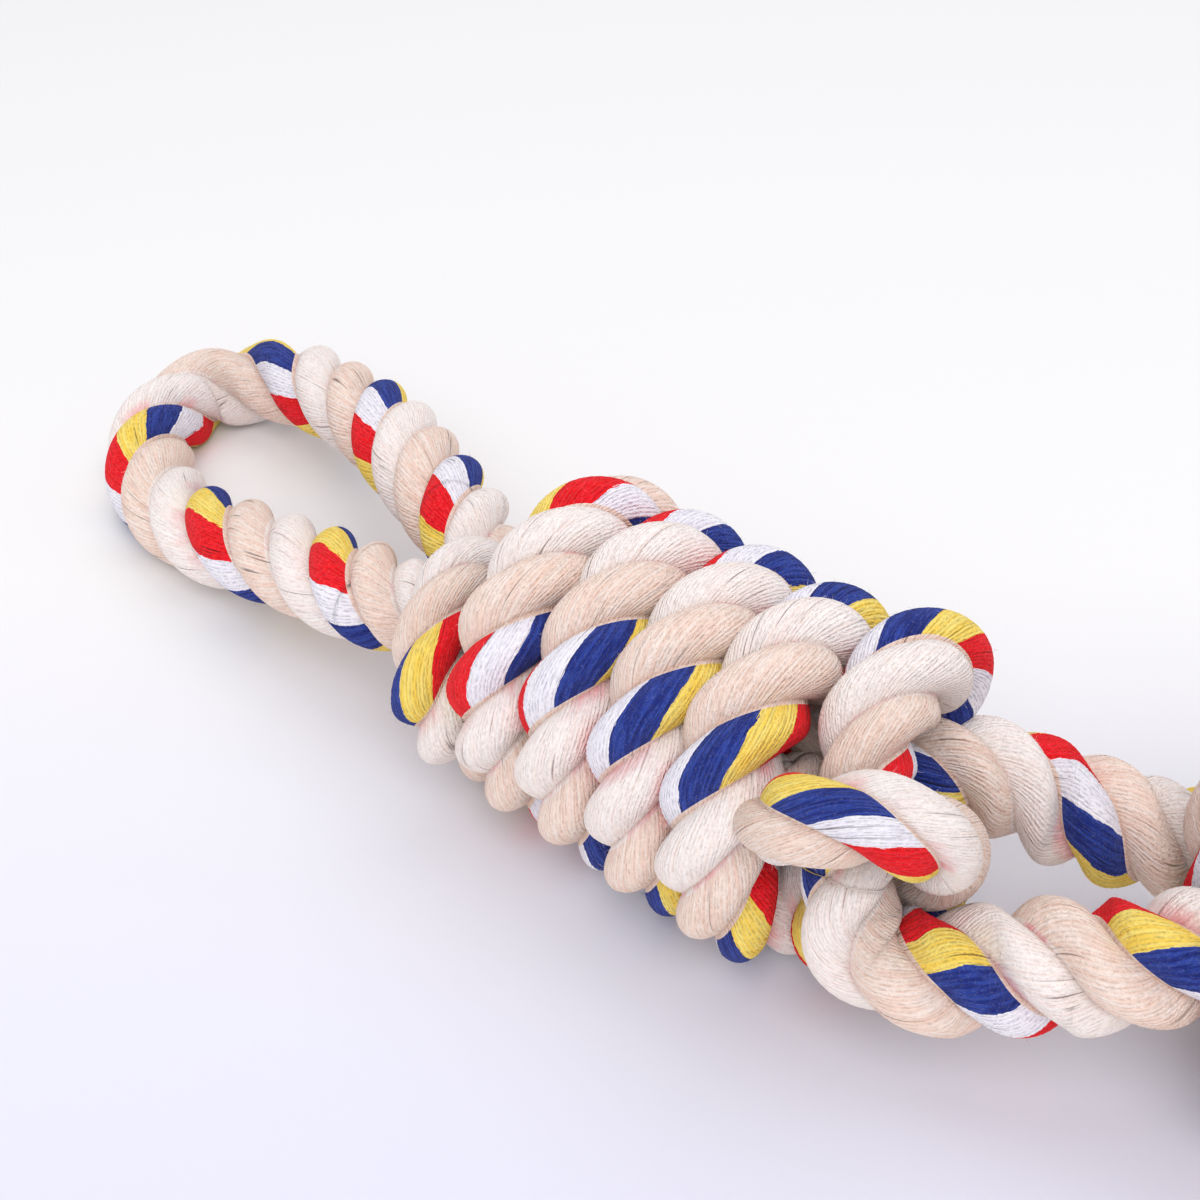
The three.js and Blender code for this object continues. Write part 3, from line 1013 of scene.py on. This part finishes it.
# %% Lay the runs of both halves
FIBRES_PER_SQUARE_METRE = 110000.0
FIBRE_LENGTH = 0.0011
HELPER_NAMES = (
    "round_strand", "turn", "plumpness", "half_width", "half_depth",
    "room_after", "room_before", "groove", "outward", "across", "strand",
)
tree_values = {
    "Stand off": STRAND_STAND_OFF,
    "Strand size": STRAND_SIZE,
    "Press softness": PRESS_SOFTNESS,
    "Floor softness": FLOOR_SOFTNESS,
    "Fibre length": FIBRE_LENGTH,
    "Seed": FUZZ_SEED,
}


def laid(name, half):
    """The mesh of one run of a half, still in the place of the left one."""
    piece = bpy.data.objects.new(name, skeleton(name, half))
    scene.collection.objects.link(piece)
    modifier = piece.modifiers.new("lay", "NODES")
    modifier.node_group = rope_tree
    hidden = name.startswith("core")
    values = dict(tree_values)
    values["Fibres per square metre"] = 0.0 if hidden else FIBRES_PER_SQUARE_METRE
    for item in rope_tree.interface.items_tree:
        if item.in_out == "INPUT" and item.name in values:
            modifier[item.identifier] = values[item.name]
    graph = bpy.context.evaluated_depsgraph_get()
    mesh = bpy.data.meshes.new_from_object(
        piece.evaluated_get(graph), preserve_all_data_layers=True, depsgraph=graph
    )
    bpy.data.objects.remove(piece)
    return mesh


def finished(mesh):
    """Smooth faces with sharp grooves between the strands, and nothing left of the skeleton's notes."""
    groove = np.zeros(len(mesh.vertices), np.float32)
    mesh.attributes["groove"].data.foreach_get("value", groove)
    ends = np.zeros(2 * len(mesh.edges), np.int32)
    mesh.edges.foreach_get("vertices", ends)
    sharp = np.all(groove[ends.reshape(-1, 2)] > 0.5, axis=1)
    mesh.polygons.foreach_set("use_smooth", np.ones(len(mesh.polygons), bool))
    remember(mesh, "sharp_edge", "BOOLEAN", "EDGE", sharp)
    for name in HELPER_NAMES:
        if name in mesh.attributes:
            mesh.attributes.remove(mesh.attributes[name])
    return mesh


meshes = {(name, half): finished(laid(name, half)) for name in run_ends for half in (0, 1)}
for name in run_ends:
    print(name, len(meshes[name, 0].polygons), "faces")

# %% [markdown]
# Each run becomes a piece of the toy. The knots and the hand loops move as wholes, while the necks of the
# loops and the two legs stay where they are laid. A leg leaves one knot and ends in the other,
# so the left half's leg is the far one and the right half's leg is the near one.

# %% Pieces on their bodies
HALVES = [("left", 0, "far_leg"), ("right", 1, "near_leg")]
NECK_LENGTH = 0.035
NECK_BEND = (mouth_x, mouth_x - NECK_LENGTH)
for half, number, leg_node in HALVES:
    for name in run_ends:
        node = leg_node if name == "leg" else f"{half}_{name}"
        shape = meshes[name, number]
        shape.transform(Matrix.Rotation(math.pi * number, 4, "Z"))
        piece = bpy.data.objects.new(f"{node}_rope", shape)
        scene.collection.objects.link(piece)
        sign = 1 - 2 * number
        if name == "leg":
            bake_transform(piece)
        elif name.startswith("neck"):
            start, end = ((sign * x, 0, 0) for x in NECK_BEND)
            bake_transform(piece)
        elif name == "handle_loop":
            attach(piece, f"{half}_handle")
        else:
            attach(piece, f"{half}_knot")
        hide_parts(node)

# %% How long the hand loops are
loop_start, loop_end = run_ends["handle_loop"]
for half, *_ in HALVES:
    loop_end - loop_start
print("hand loop:", round(1000 * (loop_end - loop_start)), "mm of free rope")

# %% [markdown]
# The toy lies on a white sweep in even light, with one soft lamp behind the camera and one high up behind
# the toy. The floor is pale, with painted shade that makes it darker and a little violet towards the camera,
# and it keeps the soft shadow. Further out it fades away, so that no edge is seen against the white round
# it.

# %% Floor
FLOOR_SIZE = 6.0
FLOOR_WHITE = srgb(228, 228, 228)
FLOOR_SHADE_VIOLET = srgb(213, 214, 228)
FLOOR_GRAIN = srgb(208, 204, 216)
GRAIN_PER_METRE = 900.0
GRAIN_DEPTH = 0.04
# The light that the floor throws back on the toy is that of clean white paper.
FLOOR_BOUNCE = srgb(250, 249, 250)
# Painted shade: the sheet turns from a darker pale violet near the camera to white behind the toy, between
# these two distances.
SHADE_VIOLET_AT, WHITE_AT = -0.06, 0.16
AWAY_FROM_CAMERA = (-math.sin(CAMERA_HEADING), math.cos(CAMERA_HEADING), 0)
# From the first distance to the second one, the floor fades away.
FADE_START, FADE_END = 1.3, 2.8

floor_mesh = bpy.data.meshes.new("studio_floor")
far = FLOOR_SIZE / 2
floor_corners = [(-far, -far, 0), (far, -far, 0), (far, far, 0), (-far, far, 0)]
floor_mesh.from_pydata(floor_corners, [], [(0, 1, 2, 3)])
floor = bpy.data.objects.new("studio_floor", floor_mesh)
scene.collection.objects.link(floor)
paper = bpy.data.materials.new("studio_paper")
paper.use_nodes = True
paper.node_tree.nodes.clear()
bench = Wire(paper.node_tree)
place = bench.node("ShaderNodeTexCoord", None, None, "Object")
grain = bench.node("ShaderNodeTexNoise", None, {"Vector": place, "Scale": GRAIN_PER_METRE, "Detail": 3.0})
depth = bench.node(
    "ShaderNodeVectorMath", {"operation": "DOT_PRODUCT"}, {0: place, 1: AWAY_FROM_CAMERA}, "Value"
)
# Painted shade: the sheet is darker and more violet towards the camera.
sheet = blended(between(depth, SHADE_VIOLET_AT, WHITE_AT), FLOOR_SHADE_VIOLET, FLOOR_WHITE)
sheet = blended(grain * GRAIN_DEPTH, sheet, FLOOR_GRAIN)
seen = bench.node("ShaderNodeLightPath", None, None, "Is Camera Ray")
sheet = blended(seen, FLOOR_BOUNCE, sheet)
reach = bench.node("ShaderNodeVectorMath", {"operation": "LENGTH"}, {0: place}, "Value")
solid = between(reach, FADE_END, FADE_START)
surface = bench.node(
    "ShaderNodeBsdfPrincipled",
    None,
    {"Base Color": sheet, "Roughness": 0.9, "Specular IOR Level": 0.1, "Alpha": solid},
)
bench.node("ShaderNodeOutputMaterial", None, {"Surface": surface})
floor_mesh.materials.append(paper)
print("floor:", FLOOR_SIZE, "m")

# %% Light
SKY_COLOUR = srgb(252, 251, 255)
SKY_STRENGTH = 0.78
# Name, place, width across, power and colour.
LAMPS = [
    ("key_lamp", (0.75, -1.1, 1.7), 1.8, 23.5, (1.0, 0.99, 1.0)),
    ("back_lamp", (-0.2, 0.9, 2.6), 2.6, 20.2, (1.0, 0.99, 0.96)),
]
LAMP_AIM = np.array((-0.06, 0, 0.03))

world = bpy.data.worlds.new("studio_world")
world.use_nodes = True
world.node_tree.nodes.clear()
bench = Wire(world.node_tree)
seen = bench.node("ShaderNodeLightPath", None, None, "Is Camera Ray")
mirrored = bench.node("ShaderNodeLightPath", None, None, "Is Glossy Ray")
shown = seen.math("MAXIMUM", mirrored)
strength = SKY_STRENGTH + shown * (1 - SKY_STRENGTH)
sky = bench.node("ShaderNodeBackground", None, {"Color": SKY_COLOUR, "Strength": strength})
bench.node("ShaderNodeOutputWorld", None, {"Surface": sky})
scene.world = world

for name, place, width, watts, colour in LAMPS:
    lamp_data = bpy.data.lights.new(name, "AREA")
    lamp_data.energy = watts
    lamp_data.color = colour
    lamp_data.shape = "DISK"
    lamp_data.size = width
    lamp = bpy.data.objects.new(name, lamp_data)
    lamp.location = place
    lamp.rotation_euler = Vector(LAMP_AIM - place).to_track_quat("-Z", "Y").to_euler()
    scene.collection.objects.link(lamp)
scene.view_settings.view_transform = "Standard"
print("lamps:", [row[0] for row in LAMPS])
